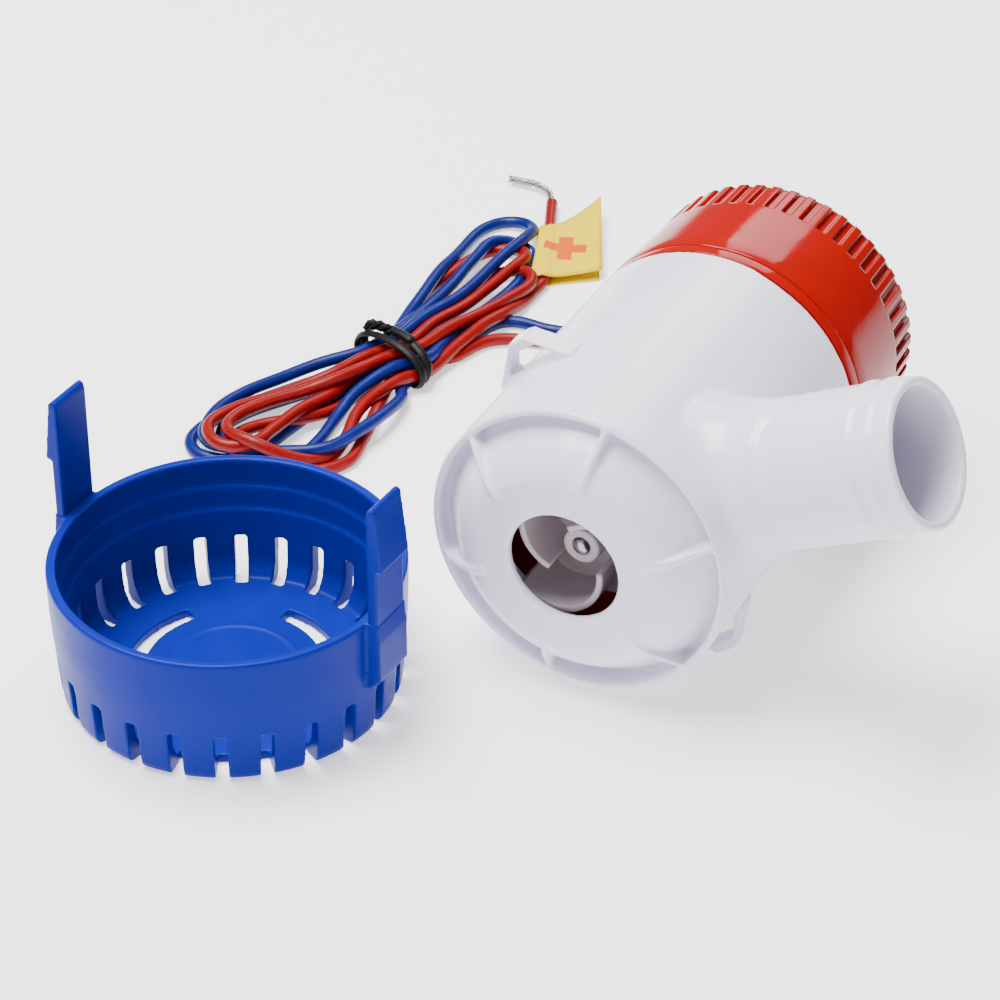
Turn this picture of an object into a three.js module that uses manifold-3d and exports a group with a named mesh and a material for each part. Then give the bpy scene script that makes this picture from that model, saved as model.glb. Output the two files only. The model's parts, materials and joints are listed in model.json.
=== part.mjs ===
// Small submersible bilge pump, lying on its side beside its strainer basket.
// Millimetres, +Z up. The origin is on the floor, under the middle of the rigid pieces.

import * as THREE from "three";
import { mergeVertices } from "three/addons/utils/BufferGeometryUtils.js";
import Module from "manifold-3d";

const wasm = await Module();
wasm.setup();

// ---- Driving dimensions -------------------------------------------------------------------

// Where the pump lies: the middle of its bottom rim, and how its axis is turned.
const pumpAt = [14.4, -33.3, 30.5];
const pumpYaw = 27.1;
const nozzleRoll = 25.9;

// Outer housing. Lengths run from the bottom rim (0) towards the cap.
const skirtR = 30.5;
const wall = 1.5;
const housingTop = 63;
const inletR = 11.2;
const inletZ = -6;
const inletFlatR = 18.5;
const volutePlate = 2;
const voluteFloor = 5;
const baseRibs = 6;
const baseRibPhase = 6.5;

// Discharge nozzle, for hose of 28.6 mm bore.
const nozzleZ = 19.4;
const nozzleR = 14.25;
const nozzleBoreR = 12.25;
const nozzleReach = 67.6;
const nozzleSides = 32;

// Loop ears on the housing that the strainer's arms snap into.
const earAngle = 77.5;
const earR = 36.8;
const earZ = 19.6;
const earLength = 5.2;

// Motor pod, its flange and the cap.
const podR = 28.5;
const podNoseR = 25.6;
const podFloor = 12.6;
const podWall = 2.2;
const flangeZ = 63.3;
const flangeR = 30.35;
const capZ = 66.1;
const capTop = 96.3;
const capTopR = 29.1;
const capSkin = 2.5;
const gripZ = 86.3;
const gripGrooves = 48;
const gripDepth = 0.8;
const gripW = 1.9;
const gripChamfer = 1.2;

// Where the leads leave the cap.
const exitR = 16;
const exitAngle = 130;
const exitHoleR = 4.3;

// Motor.
const shaftR = 1.6;
const boreR = 1.95;
const canR = 17.9;
const canZ = 16.7;
const canTop = 72;
const magnetR = 16.2;
const coreR = 13.2;
const corePoles = 5;

// Impeller: an open disc with three swept vanes. Each vane is an arc about a point beside the hub.
const impellerR = 15;
const impellerBlades = 3;
const bladeZ = -2;
const bladeInnerR = 8.4;
const bladeOuterR = 9.7;
const bladeCentre = [-4.6, 1.9];
const bladeFrom = 16;
const bladeTo = 169;
const hubR = 3.1;
const hubZ = 2;
const discZ = 9.4;

// Strainer basket and its snap arms.
const strainerAt = [-51.1, -31];
const basketR = 34.1;
const basketFootR = 32.7;
const basketInnerR = 32.1;
const basketH = 27.9;
const slotCount = 24;
const slotW = 2.5;
const slotTop = 10.6;
const armAngle = -30;
const armW = 9.6;
const armInner = 34;
const armThick = 2;
const armTop = 53.5;
const barbZ = 40;
const barbOut = 1.3;
const padFoot = 14;

// Leads.
const wireR = 1.35;
const hankHeight = 9;
const gap = 0.3;

// ---- Materials ----------------------------------------------------------------------------

const finishes = {
  white: { color: 0xeceaf2, roughness: 0.3, metalness: 0 },
  red: { color: 0xc8161a, roughness: 0.2, metalness: 0 },
  blue: { color: 0x123fb4, roughness: 0.38, metalness: 0 },
  natural: { color: 0xe6ded2, roughness: 0.5, metalness: 0 },
  black: { color: 0x151516, roughness: 0.6, metalness: 0 },
  steel: { color: 0xb4b6ba, roughness: 0.3, metalness: 1 },
  bronze: { color: 0x9c6a35, roughness: 0.4, metalness: 1 },
  copper: { color: 0xb06a3c, roughness: 0.35, metalness: 1 },
  core: { color: 0x6f7276, roughness: 0.45, metalness: 1 },
  ferrite: { color: 0x2b2b2e, roughness: 0.7, metalness: 0 },
  redWire: { color: 0xb81c1c, roughness: 0.35, metalness: 0 },
  blueWire: { color: 0x1a3fa0, roughness: 0.35, metalness: 0 },
  label: { color: 0xf2dc28, roughness: 0.45, metalness: 0 },
};

// ---- Helpers ------------------------------------------------------------------------------

const radians = THREE.MathUtils.degToRad;
const vec = (x, y, z) => new THREE.Vector3(x, y, z);

// Positions only, shared vertices merged, slivers dropped and faces turned outwards.
function clean(source) {
  const bare = new THREE.BufferGeometry();
  bare.setAttribute("position", source.getAttribute("position").clone());
  if (source.index) bare.setIndex(source.index.clone());
  const merged = mergeVertices(bare, 1e-4);
  const old = merged.index.array;
  const kept = [];
  for (let i = 0; i < old.length; i += 3) {
    const [a, b, c] = [old[i], old[i + 1], old[i + 2]];
    if (a !== b && b !== c && c !== a) kept.push(a, b, c);
  }
  const p = merged.getAttribute("position");
  const corner = (i) => vec(p.getX(i), p.getY(i), p.getZ(i));
  let volume = 0;
  for (let i = 0; i < kept.length; i += 3) {
    volume += corner(kept[i]).dot(corner(kept[i + 1]).cross(corner(kept[i + 2])));
  }
  merged.setIndex(volume < 0 ? kept.reverse() : kept);
  return merged;
}

function toSolid(geometry) {
  const g = clean(geometry);
  return new wasm.Manifold(new wasm.Mesh({
    numProp: 3,
    vertProperties: new Float32Array(g.getAttribute("position").array),
    triVerts: new Uint32Array(g.index.array),
  }));
}

function toGeometry(solid) {
  const m = solid.getMesh();
  const g = new THREE.BufferGeometry();
  g.setAttribute("position", new THREE.BufferAttribute(new Float32Array(m.vertProperties), 3));
  g.setIndex([...m.triVerts]);
  return g;
}

const join = (first, ...rest) => toGeometry(rest.reduce((s, g) => s.add(toSolid(g)), toSolid(first)));
const cut = (first, ...rest) => toGeometry(rest.reduce((s, g) => s.subtract(toSolid(g)), toSolid(first)));

// A turned solid from a profile of [radius, z] points; a ring's profile closes on itself.
function turned(profile, segments = 48) {
  const closes = profile[0][0] > 0 || profile[profile.length - 1][0] > 0;
  const outline = closes ? [...profile, profile[0]] : profile;
  const points = outline.map(([r, z]) => new THREE.Vector2(r, z));
  return clean(new THREE.LatheGeometry(points, segments).rotateX(Math.PI / 2));
}

const ring = (inner, outer, z0, z1, segments = 32) =>
  turned([[inner, z0], [outer, z0], [outer, z1], [inner, z1]], segments);

const rod = (r, z0, z1, segments = 32) => turned([[0, z0], [r, z0], [r, z1], [0, z1]], segments);

function block(x0, x1, y0, y1, z0, z1) {
  const g = new THREE.BoxGeometry(x1 - x0, y1 - y0, z1 - z0);
  return g.translate((x0 + x1) / 2, (y0 + y1) / 2, (z0 + z1) / 2);
}

// A flat outline of [x, y] points raised from z0 to z1.
function raised(outline, z0, z1) {
  const shape = new THREE.Shape(outline.map(([x, y]) => new THREE.Vector2(x, y)));
  const g = new THREE.ExtrudeGeometry(shape, { depth: z1 - z0, bevelEnabled: false });
  return g.translate(0, 0, z0);
}

// Points along an arc about the origin, from one angle to another, in degrees.
function arc(r, from, to, steps) {
  const points = [];
  for (let i = 0; i <= steps; i += 1) {
    const a = radians(from + ((to - from) * i) / steps);
    points.push([r * Math.cos(a), r * Math.sin(a)]);
  }
  return points;
}

const sector = (inner, outer, from, to, steps) =>
  [...arc(outer, from, to, steps), ...arc(inner, to, from, steps)];

// A round cord along points, with flat ends.
function cord(points, r, steps) {
  const sides = 8;
  const section = new THREE.Shape();
  for (let i = 0; i < sides; i += 1) {
    const a = (2 * Math.PI * i) / sides;
    if (i === 0) section.moveTo(r * Math.cos(a), r * Math.sin(a));
    else section.lineTo(r * Math.cos(a), r * Math.sin(a));
  }
  const extrudePath = new THREE.CatmullRomCurve3(points.map((p) => vec(...p)), false, "centripetal");
  return clean(new THREE.ExtrudeGeometry(section, { steps, bevelEnabled: false, extrudePath }));
}

function part(name, finish, geometry) {
  const mesh = new THREE.Mesh(geometry, new THREE.MeshStandardMaterial(finishes[finish]));
  mesh.name = name;
  return mesh;
}

// ---- Housing ------------------------------------------------------------------------------

// The funnel-shaped bottom plate: a flat ring round the inlet that slopes back into the skirt.
const plateOuter = [[inletR, inletZ], [inletFlatR, inletZ], [22.5, inletZ + 2.2], [26, 0.4]];
const plateInner = [[inletR, inletZ + volutePlate], [17.5, inletZ + volutePlate], [21.5, -1.4], [25, 2.6]];

function housingBody() {
  return turned([
    ...plateOuter, [skirtR - wall, voluteFloor - 1], [skirtR - wall, 0], [skirtR, 0],
    [skirtR, housingTop], [skirtR - wall, housingTop], [skirtR - wall, voluteFloor + 3],
    [27.6, voluteFloor + 1.5], ...[...plateInner].reverse(),
  ]);
}

// The nozzle's outside: a flared root, a plain spigot and two low beads near the mouth.
function nozzleOutside() {
  return turned([
    [0, 22], [18.4, 22], [18.4, 28.5], [16.6, 30.2], [15, 33.5], [nozzleR, 38],
    [nozzleR, 57.4], [nozzleR + 0.35, 58], [nozzleR + 0.35, 58.8], [nozzleR, 59.4],
    [nozzleR, 61.6], [nozzleR + 0.35, 62.2], [nozzleR + 0.35, 63], [nozzleR, 63.6],
    [nozzleR, nozzleReach], [0, nozzleReach],
  ], nozzleSides).rotateY(Math.PI / 2).translate(0, 0, nozzleZ);
}

// One loop ear: a tapering bridge with a window for a strainer arm.
function ear(side) {
  const root = skirtR - 0.8;
  const outline = [[root, -9.6], [earR - 1.2, -3.2], [earR, -2], [earR, 2], [earR - 1.2, 3.2], [root, 9.6]];
  return raised(outline, earZ, earZ + earLength).rotateZ(radians(earAngle + side));
}

function earWindow(side) {
  const window = [[skirtR + 0.3, -6.6], [earR - 2.2, -3.4], [earR - 2.2, 3.4], [skirtR + 0.3, 6.6]];
  return raised(window, earZ - 1, earZ + earLength + 1).rotateZ(radians(earAngle + side));
}

function baseRib(i) {
  const profile = [[17.8, inletZ + 0.6], [29.4, 0.2], [29.4, 4], [17.8, inletZ + 1.6]];
  const rib = raised(profile, -0.6, 0.6).rotateX(Math.PI / 2);
  return rib.rotateZ(radians(baseRibPhase + (360 / baseRibs) * i));
}

function housing() {
  const shell = join(housingBody(), ear(0), ear(180));
  const hollow = turned([[0, 2.6], [25, 2.6], [27.6, 6.5], [skirtR - wall, 8], [skirtR - wall, 60], [0, 60]]);
  const spigot = cut(nozzleOutside(), hollow);
  const bore = rod(nozzleBoreR, 20, nozzleReach + 1, nozzleSides).rotateY(Math.PI / 2).translate(0, 0, nozzleZ);
  const ribs = Array.from({ length: baseRibs }, (_, i) => baseRib(i));
  const whole = join(shell, spigot, ...ribs);
  return part("outer_housing", "white", cut(whole, bore, earWindow(0), earWindow(180)));
}

// ---- Motor pod and cap --------------------------------------------------------------------

function podPieces() {
  const insideR = podNoseR - podWall;
  const grooveR = podR - 1.7;
  const pod = turned([
    [4.5, podFloor], [podNoseR - 1.5, podFloor], [podNoseR, podFloor + 1.5], [podNoseR, 38],
    [podR, 42], [podR, 52.4], [grooveR, 52.4], [grooveR, 55], [podR, 55], [podR, flangeZ],
    [flangeR, flangeZ], [flangeR, capZ - gap], [25.2, capZ - gap], [25.2, 46],
    [insideR, 40], [insideR, podFloor + 2], [4.5, podFloor + 2],
  ]);
  const sealR = 0.8;
  const sealRing = new THREE.TorusGeometry(podR - 0.6, sealR, 6, 32).translate(0, 0, 53.7);
  return [part("motor_pod", "red", pod), part("pod_o_ring", "black", clean(sealRing))];
}

const gripR = (z) => flangeR + ((capTopR - flangeR) * (z - capZ)) / (capTop - capZ);

function capPieces() {
  const chamferZ = capTop - gripChamfer;
  const body = turned([
    [flangeR - 0.5, capZ], [flangeR, capZ + 0.5], [gripR(chamferZ), chamferZ],
    [capTopR - gripChamfer, capTop], [0, capTop],
    [0, capTop - capSkin], [25.5, capTop - capSkin], [27, capTop - 5], [27.8, capZ],
  ].reverse(), gripGrooves);
  const grooves = Array.from({ length: gripGrooves }, (_, i) => {
    const inner = capTopR - gripDepth - 0.2;
    const g = block(inner, flangeR + 1, -gripW / 2, gripW / 2, gripZ, capTop + 1);
    return g.rotateZ((2 * Math.PI * (i + 0.5)) / gripGrooves);
  });
  const [x, y] = arc(exitR, exitAngle, exitAngle, 1)[0];
  const exitHole = rod(exitHoleR, capTop - 4, capTop + 1, 24).translate(x, y, 0);
  const neckR = exitHoleR - gap;
  const relief = turned([
    [0, capTop - 4], [5.6, capTop - 4], [5.6, capTop - capSkin - gap], [neckR, capTop - capSkin - gap],
    [neckR, capTop + 0.6], [3.9, capTop + 1.2], [3.2, capTop + 9], [0, capTop + 9],
  ], 24).translate(x, y, 0);
  return [
    part("cap", "red", cut(body, ...grooves, exitHole)),
    part("strain_relief", "black", relief),
  ];
}

// ---- Motor --------------------------------------------------------------------------------

function motorCase() {
  const can = turned([
    [4.3, canZ], [canR - 1, canZ], [canR, canZ + 1], [canR, canTop], [canR - 1.3, canTop],
    [canR - 1.3, canZ + 1.5], [4.3, canZ + 1.5],
  ]);
  const bell = turned([
    [4.3, 68.6], [canR - 1.6, 68.6], [canR - 1.6, 71.8], [7, 71.8], [7, 75], [4.3, 75],
  ]);
  const magnets = [0, 180].map((side) => {
    const g = raised(sector(magnetR - 2.2, magnetR, side - 70, side + 70, 14), 24, 62);
    return part(side ? "magnet_right" : "magnet_left", "ferrite", g);
  });
  return [
    part("motor_can", "steel", can),
    part("end_bell", "black", bell),
    part("bush_lower", "bronze", ring(boreR, 4, canZ + 0.2, 20.4, 24)),
    part("bush_upper", "bronze", ring(boreR, 4, 69.2, 74.2, 24)),
    ...magnets,
  ];
}

function sealPieces() {
  const lip = turned([
    [boreR, podFloor + 0.9], [2.6, podFloor + 0.4], [4.2, podFloor + 0.4], [4.2, podFloor + 2],
    [boreR, podFloor + 2],
  ], 24);
  return [
    part("shaft_seal", "black", lip),
    part("seal_washer", "steel", ring(boreR, 7, podFloor + 2.3, podFloor + 2.9, 24)),
  ];
}

// Brush, its leaf and its terminal, on each side of the commutator.
function brushSet(side) {
  const [tag, lead] = side > 0 ? ["a", "red"] : ["b", "blue"];
  const place = (g) => (side > 0 ? g : g.rotateZ(Math.PI));
  const leaf = raised([[8.9, 63.4], [9.3, 63.4], [9.3, 67.9], [13, 67.9], [13, 68.3], [8.9, 68.3]], -1.5, 1.5);
  return [
    part(`brush_${tag}`, "ferrite", place(block(4.6, 8.6, -1.5, 1.5, 64, 67))),
    part(`brush_leaf_${tag}`, "copper", place(leaf.rotateX(Math.PI / 2))),
    part(`terminal_${lead}`, "copper", place(block(10.5, 11.1, -1.6, 1.6, 72.1, 79))),
  ];
}

function core() {
  const outline = [];
  for (let i = 0; i < corePoles; i += 1) {
    const middle = (360 / corePoles) * i;
    outline.push(...arc(coreR, middle - 30, middle + 30, 6));
    outline.push(...arc(coreR - 1.6, middle + 29, middle + 29, 1).slice(0, 1));
    outline.push(...arc(6.4, middle + 22, middle + 22, 1).slice(0, 1));
    outline.push(...arc(6.4, middle + 50, middle + 50, 1).slice(0, 1));
    outline.push(...arc(coreR - 1.6, middle + 43, middle + 43, 1).slice(0, 1));
  }
  return part("rotor_core", "core", cut(raised(outline, 30, 58), rod(boreR, 29, 59, 24)));
}

function shaft() {
  const flat = 1.1;
  const round = rod(shaftR, 2.3, 74.6, 24);
  return part("shaft", "steel", cut(round, block(flat, 3, -3, 3, hubZ, discZ - 1)));
}

function blade(i) {
  const ribbon = sector(bladeInnerR, bladeOuterR, bladeFrom, bladeTo, 16);
  const outline = ribbon.map(([x, y]) => [x + bladeCentre[0], y + bladeCentre[1]]);
  return raised(outline, bladeZ, discZ + 0.4).rotateZ((2 * Math.PI * i) / impellerBlades);
}

function impeller() {
  const hub = rod(hubR, hubZ, discZ + 0.4, 24);
  const disc = rod(impellerR, discZ, discZ + 1.6, 48);
  const blades = Array.from({ length: impellerBlades }, (_, i) => blade(i));
  const boreHole = rod(boreR, hubZ - 1, discZ + 3, 24);
  return part("impeller", "natural", cut(join(disc, hub, ...blades), boreHole));
}

function rotorPieces() {
  const heads = [[24.6, 29.7, "lower"], [58.3, 62.8, "upper"]].map(([z0, z1, name]) => {
    const head = turned([[3.4, z0], [9.4, z0], [11.6, z0 + 1.8], [11.6, z1], [3.4, z1]], 30);
    return part(`winding_${name}`, "copper", head);
  });
  return [
    shaft(), core(), ...heads, impeller(),
    part("commutator", "copper", ring(boreR, 4.3, 63.2, 68.2, 24)),
    part("thrust_washer", "natural", ring(boreR, 3.4, 23, 24.2, 24)),
  ];
}

// The leads inside the cap, from the strain relief to the terminals.
function innerLeads() {
  const [x, y] = arc(exitR, exitAngle, exitAngle, 1)[0];
  const ends = [["red", 1.7, [10.8, 0]], ["blue", -1.7, [-10.8, 0]]];
  return ends.map(([name, offset, [tx, ty]]) => {
    const points = [
      [x + offset, y, capTop - 4 - gap], [x + offset, y, capTop - 7.5],
      [(x + offset + tx) / 2, (y + ty) / 2, 85.5], [tx, ty, 82.5], [tx, ty, 79.1 + gap],
    ];
    return part(`inner_lead_${name}`, `${name}Wire`, cord(points, wireR, 12));
  });
}

// ---- Strainer -----------------------------------------------------------------------------

function basket() {
  const floorTop = 2;
  const step = 0.35;
  const cup = turned([
    [0, 0], [basketFootR - 2.4, 0], [basketFootR - 0.7, 0.7], [basketFootR, 2.4],
    [basketFootR + 0.5, 15], [basketR, 17.5], [basketR, basketH], [basketInnerR, basketH],
    [basketInnerR - 0.1, 22], [basketInnerR - 0.1 - step, 21.6], [basketInnerR - 0.7, 17],
    [basketInnerR - 0.7 - step, 16.6], [basketFootR - 2.5, 4], [basketFootR - 4.2, floorTop], [0, floorTop],
  ], slotCount * 2);
  const slots = Array.from({ length: slotCount }, (_, i) => {
    const g = block(basketFootR - 5.6, basketR + 1, -slotW / 2, slotW / 2, -1, slotTop);
    return g.rotateZ((2 * Math.PI * (i + 0.5)) / slotCount + radians(7.5));
  });
  const vents = [150, 30, -90].map((middle) => raised(sector(17.2, 20.4, middle - 31, middle + 31, 12), -1, 3));
  const pads = [0, 180].map((side) => {
    const pad = block(basketFootR - 0.6, armInner + armThick + 0.5, -5, 5, padFoot, basketH);
    return pad.rotateZ(radians(armAngle + side));
  });
  const inside = rod(basketInnerR - 0.7, 10, basketH + 1, slotCount * 2);
  const trimmedPads = pads.map((pad) => cut(pad, inside));
  return part("strainer_basket", "blue", cut(join(cup, ...trimmedPads), ...slots, ...vents));
}

// One snap arm: a flat blade with an outward barb below its sloping tip.
function snapArm(name, side) {
  const outer = armInner + armThick;
  const foot = basketH + gap;
  const profile = [
    [armInner, foot], [outer, foot], [outer, barbZ], [outer + barbOut, barbZ],
    [outer - 0.2, armTop - 0.6], [outer - 0.9, armTop], [armInner + 0.3, armTop - 0.4], [armInner, armTop - 1.4],
  ];
  const arm = raised(profile, -armW / 2, armW / 2).rotateX(Math.PI / 2);
  return part(name, "blue", arm.rotateZ(radians(armAngle + side)));
}

// ---- Leads, tie and tag -------------------------------------------------------------------

// Plan outline of the folded bundle, pinched where the tie goes round it.
const hankOutline = [
  [6.8, 138.8], [8.6, 133.9], [7.3, 119.3], [4.9, 104.8], [-3.9, 88.2], [-15.5, 72.2], [-21.6, 58.3],
  [-28.1, 35.7], [-36.2, 32.4], [-45.3, 35.9], [-66.5, 37.4], [-67.6, 47.1], [-58.6, 61.4],
  [-43.5, 74.3], [-30.3, 80.1], [-20.7, 86.1], [-14.6, 108.9], [-4.9, 131.8], [1.7, 140.4],
];
const tieAt = [-22.8, 74.5];
const tieTurn = 138;

const redRoute = [
  [57.5, 63.5, 15], [60.1, 70.2, 14.2], [61.1, 78.4, 9], [58.1, 85.6, 3.2], [50.4, 89.2, 1.5],
  [40.3, 88.3, 1.5], [30.2, 85.9, 1.5], [20.2, 84.9, 1.5], [10.4, 85.3, 1.5], [2.2, 86.5, 1.5],
  [-2.2, 86.9, 1.5],
];
const blueRoute = [
  [60.7, 61.9, 15], [63.9, 69.3, 14.3], [65.9, 79.4, 9.2], [63.1, 89.6, 3.2], [54.5, 94.4, 1.5],
  [42.3, 93.6, 1.5], [30.2, 90.1, 1.5], [19.3, 88.3, 1.5], [10.4, 90.2, 1.5], [4.7, 93.1, 1.5],
  [2, 94.9, 1.5],
];
const redEndRoute = [
  [7.5, 106, 1.5], [8.7, 111, 1.5], [9.7, 117.2, 1.5], [10.3, 125.5, 1.5], [10.9, 133.9, 1.5],
  [11.7, 145, 1.5],
];
const strandRoute = [
  [11.8, 145.4, 1.5], [11.7, 149.2, 1.6], [9, 152.4, 1.8], [5.5, 154.5, 1.6], [2.2, 156.1, 1.4],
];

function hank() {
  const curve = new THREE.CatmullRomCurve3(hankOutline.map(([x, y]) => vec(x, y, 0)), true, "centripetal");
  const outline = curve.getPoints(48).slice(0, -1).map((p) => [p.x, p.y]);
  return part("wire_hank", "redWire", raised(outline, 0, hankHeight));
}

// A bridge over the bundle's waist, standing on the floor on both sides.
function tie() {
  const half = 9.6;
  const thick = 1;
  const top = hankHeight + gap;
  const outline = [
    [-half - thick, 0], [-half, 0], [-half, top], [half, top], [half, 0], [half + thick, 0],
    [half + thick, top + thick], [-half - thick, top + thick],
  ];
  const band = raised(outline, -1.5, 1.5).rotateX(Math.PI / 2);
  return part("twist_tie", "black", band.rotateZ(radians(tieTurn)).translate(...tieAt, 0));
}

// A folded paper flag stuck round the red lead near its end.
function tag() {
  const outline = [[12.6, 110.8], [23.5, 113.2], [23.3, 141.4], [12.6, 133.6]];
  return part("polarity_tag", "label", raised(outline, 0.2, 1));
}

function cordPieces() {
  return [
    part("red_lead", "redWire", cord(redRoute, wireR, 28)),
    part("blue_lead", "blueWire", cord(blueRoute, wireR, 28)),
    part("red_wire_end", "redWire", cord(redEndRoute, wireR, 12)),
    part("bare_strands", "steel", cord(strandRoute, 0.9, 8)),
    hank(), tie(), tag(),
  ];
}

// ---- Assembly -----------------------------------------------------------------------------

const pump = new THREE.Group();
pump.add(housing(), ...podPieces(), ...capPieces(), ...motorCase(), ...sealPieces());
pump.add(...brushSet(1), ...brushSet(-1), ...rotorPieces(), ...innerLeads());
pump.rotation.z = radians(-nozzleRoll);

const tipped = new THREE.Group();
tipped.rotation.x = radians(-90);
tipped.add(pump);

const lying = new THREE.Group();
lying.position.set(...pumpAt);
lying.rotation.z = radians(-pumpYaw);
lying.add(tipped);

const strainer = new THREE.Group();
strainer.position.set(...strainerAt, 0);
strainer.add(basket(), snapArm("strainer_arm_right", 0), snapArm("strainer_arm_left", 180));

const bilgePump = new THREE.Group();
bilgePump.add(lying, strainer, ...cordPieces());

export default bilgePump;
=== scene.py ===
"""Looks of a small submersible bilge pump: moulded shells, folded leads and their finishes."""

import json
from math import copysign, cos, hypot, pi, radians, sin

import bmesh
import bpy
import numpy as np
from mathutils import Matrix, Vector


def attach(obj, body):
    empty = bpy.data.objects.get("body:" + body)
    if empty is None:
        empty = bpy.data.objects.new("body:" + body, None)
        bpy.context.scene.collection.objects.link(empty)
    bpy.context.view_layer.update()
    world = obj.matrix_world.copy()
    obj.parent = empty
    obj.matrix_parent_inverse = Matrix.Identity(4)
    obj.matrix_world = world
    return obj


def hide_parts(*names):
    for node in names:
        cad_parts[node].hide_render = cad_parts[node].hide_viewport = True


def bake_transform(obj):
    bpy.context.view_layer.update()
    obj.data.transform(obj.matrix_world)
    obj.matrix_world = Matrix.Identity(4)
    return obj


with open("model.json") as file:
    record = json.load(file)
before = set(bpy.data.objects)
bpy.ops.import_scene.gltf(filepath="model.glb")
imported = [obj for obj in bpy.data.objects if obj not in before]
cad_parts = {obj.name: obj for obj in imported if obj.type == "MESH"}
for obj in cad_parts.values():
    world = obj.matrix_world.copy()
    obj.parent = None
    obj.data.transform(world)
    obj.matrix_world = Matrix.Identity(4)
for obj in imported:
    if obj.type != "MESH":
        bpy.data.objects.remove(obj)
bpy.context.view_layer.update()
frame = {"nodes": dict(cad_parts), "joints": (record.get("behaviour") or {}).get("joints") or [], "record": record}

# ---- Places from the frame ----

MM = 0.001
JOINTS = {joint["name"]: joint for joint in frame["joints"]}
MOUNTS = {mount["name"]: mount for mount in frame["record"]["mounts"]}


def pump_place():
    """Pump millimetres to the world: Z from the bottom rim to the cap, X along the nozzle."""
    spin = JOINTS["rotor_spin"]
    z = Vector(spin["axis"]).normalized()
    x = Vector(MOUNTS["hose_spigot_end"]["axis"]).normalized()
    turn = Matrix((x, z.cross(x), z)).transposed().to_4x4()
    return Matrix.Translation(Vector(spin["pos_m"])) @ turn @ Matrix.Scale(MM, 4)


PUMP = pump_place()
STRAINER = Matrix.Translation(Vector(MOUNTS["strainer_foot"]["pos_m"])) @ Matrix.Scale(MM, 4)
FLOOR = Matrix.Scale(MM, 4)


# ---- Splines ----

def between(a, b, at_a, at_b, s):
    return (at_b - s) / (at_b - at_a) * a + (s - at_a) / (at_b - at_a) * b


def spline(points, per_span=8):
    """A smooth line through points: a centripetal Catmull-Rom curve."""
    p = np.array(points, float)
    p = np.vstack([2 * p[0] - p[1], p, 2 * p[-1] - p[-2]])
    line = []
    for a, b, c, d in zip(p, p[1:], p[2:], p[3:]):
        t = np.cumsum([0.0] + [max(np.linalg.norm(q) ** 0.5, 1e-6) for q in (b - a, c - b, d - c)])
        for s in np.linspace(t[1], t[2], per_span, endpoint=False):
            bc = between(b, c, t[1], t[2], s)
            abc = between(between(a, b, t[0], t[1], s), bc, t[0], t[2], s)
            bcd = between(bc, between(c, d, t[2], t[3], s), t[1], t[3], s)
            line.append(between(abc, bcd, t[1], t[2], s))
    return np.array(line + [p[-2]])


def distance_along(line):
    """How far each point of a line is from its first, along the line."""
    return np.concatenate([[0], np.cumsum(np.linalg.norm(np.diff(line, axis=0), axis=1))])


def evenly(line, step):
    """The same line with points about a step apart."""
    along = distance_along(line)
    where = np.linspace(0, along[-1], max(2, round(along[-1] / step) + 1))
    return np.stack([np.interp(where, along, line[:, k]) for k in range(3)], axis=1)


def new_object(name, data):
    obj = bpy.data.objects.new(name, data)
    bpy.context.scene.collection.objects.link(obj)
    return obj


# ---- Camera ----

CAMERA_AT, CAMERA_DIP = (0.00016, -0.57425, 0.42283), 35.119
LENS_MM, SENSOR_MM = 128.72, 36


def camera():
    """Stands in front and looks down at the floor through a long lens."""
    data = bpy.data.cameras.new("camera")
    data.sensor_width = SENSOR_MM
    data.lens = LENS_MM
    data.clip_start = 0.01
    obj = new_object("camera", data)
    obj.location = CAMERA_AT
    obj.rotation_euler = (radians(90 - CAMERA_DIP), 0, 0)
    bpy.context.scene.camera = obj


camera()

# ---- Leads ----

WIRE_D = 2.7
ON_FLOOR = WIRE_D / 2 + 0.02
WAIST = np.array([-22.8, 74.5])
TIE_TURN = radians(138)
ACROSS = np.array([cos(TIE_TURN), sin(TIE_TURN)])
ALONG = np.array([sin(TIE_TURN), -cos(TIE_TURN)])

# The bundle inside the tie is an oval with ten wires round its edge and two within.
BUNDLE_A, BUNDLE_B, BUNDLE_Z = 7.4, 2.7, 4.1
RING = 10
INNER_PLACES = {"inner_back": 2.6, "inner_front": -2.6}
TWISTS = ((4.5, 0.6), (1.5, 0.85), (-1.5, 1.15), (-4.5, 1.4))

# The routes from the strain relief to the bundle and from it to the free ends, in millimetres.
RED_LEAD = [
    [57.5, 63.5, 15], [60.1, 70.2, 14.2], [61.1, 78.4, 9], [58.1, 85.6, 3.2], [50.4, 89.2, 1.5],
    [40.3, 88.3, 1.5], [30.2, 85.9, 1.5], [20.2, 84.9, 1.5], [10.4, 85.3, 1.5], [2.2, 86.5, 1.5],
    [-2.5, 85.8, 1.5], [-6.5, 83, 1.5], [-10, 79.4, 1.5],
]
BLUE_LEAD = [
    [60.7, 61.9, 15], [63.9, 69.3, 14.3], [65.9, 79.4, 9.2], [63.1, 89.6, 3.2], [54.5, 94.4, 1.5],
    [42.3, 93.6, 1.5], [30.2, 90.1, 1.5], [19.3, 88.3, 1.5], [10.4, 90.2, 1.5], [4.7, 93.1, 1.5],
    [0.5, 93.2, 1.5], [-5, 89, 1.5], [-11, 83, 1.5],
]
RED_END = [
    [-7.7, 83.5, 3.5], [-4.3, 87.8, 4.2], [0, 93.5, 3.4], [3.4, 99.9, 2], [6.2, 105.7, 1.5],
    [8.7, 111, 1.5], [9.7, 117.2, 1.5], [10.3, 125.5, 1.5], [10.9, 133.9, 1.5], [11.7, 145, 1.5],
]
BLUE_END = [
    [-13, 84, 2], [-8, 91, 1.5], [-2.5, 98, 1.5], [2.2, 105, 1.5], [5.2, 111, 1.5], [6.4, 116, 1.6],
]

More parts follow.
